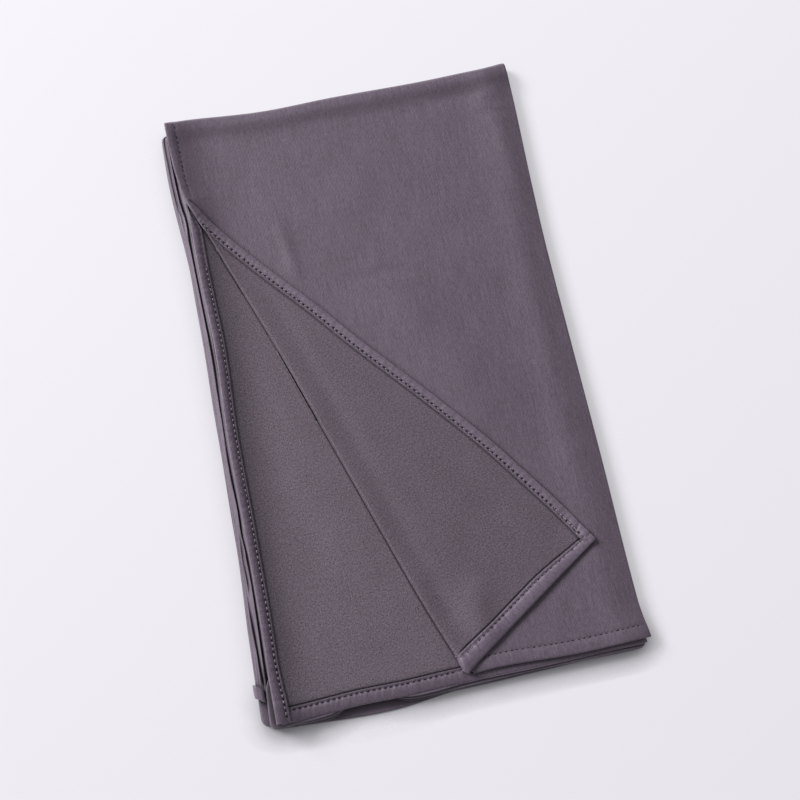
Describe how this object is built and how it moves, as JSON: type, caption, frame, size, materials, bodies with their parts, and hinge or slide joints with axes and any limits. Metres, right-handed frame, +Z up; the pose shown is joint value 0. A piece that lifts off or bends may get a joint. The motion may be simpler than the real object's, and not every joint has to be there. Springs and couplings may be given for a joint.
{
  "type": "folded jersey hijab",
  "caption": "Plain purple-grey jersey hijab, hemmed all round and folded into a flat pack, with its near corner turned back over the pack to show the wrong side and the hems.",
  "frame": {"origin": "on the surface the pack lies on, under the middle of its outline", "axes": "+X runs across the pack from its open hemmed side to its side fold, +Y along it from the hemmed end to the end fold, +Z up from the surface"},
  "size_m": [0.2822, 0.4638, 0.0134],
  "materials": {
    "jersey_face": "soft matt jersey, right side, with fine lengthwise wales",
    "jersey_back": "soft matt jersey, wrong side, with small purl loops",
    "hem": "double jersey with a line of matching lockstitch"
  },
  "bodies": {
    "root": {"folded_stack": "jersey_face", "side_bundle": "jersey_face", "bundle_hem": "hem", "under_panel": "jersey_back", "under_side_hem": "hem", "under_end_hem": "hem", "top_panel": "jersey_face", "turned_corner": "jersey_back", "turned_side_hem": "hem", "turned_end_hem": "hem"}
  },
  "joints": []
}
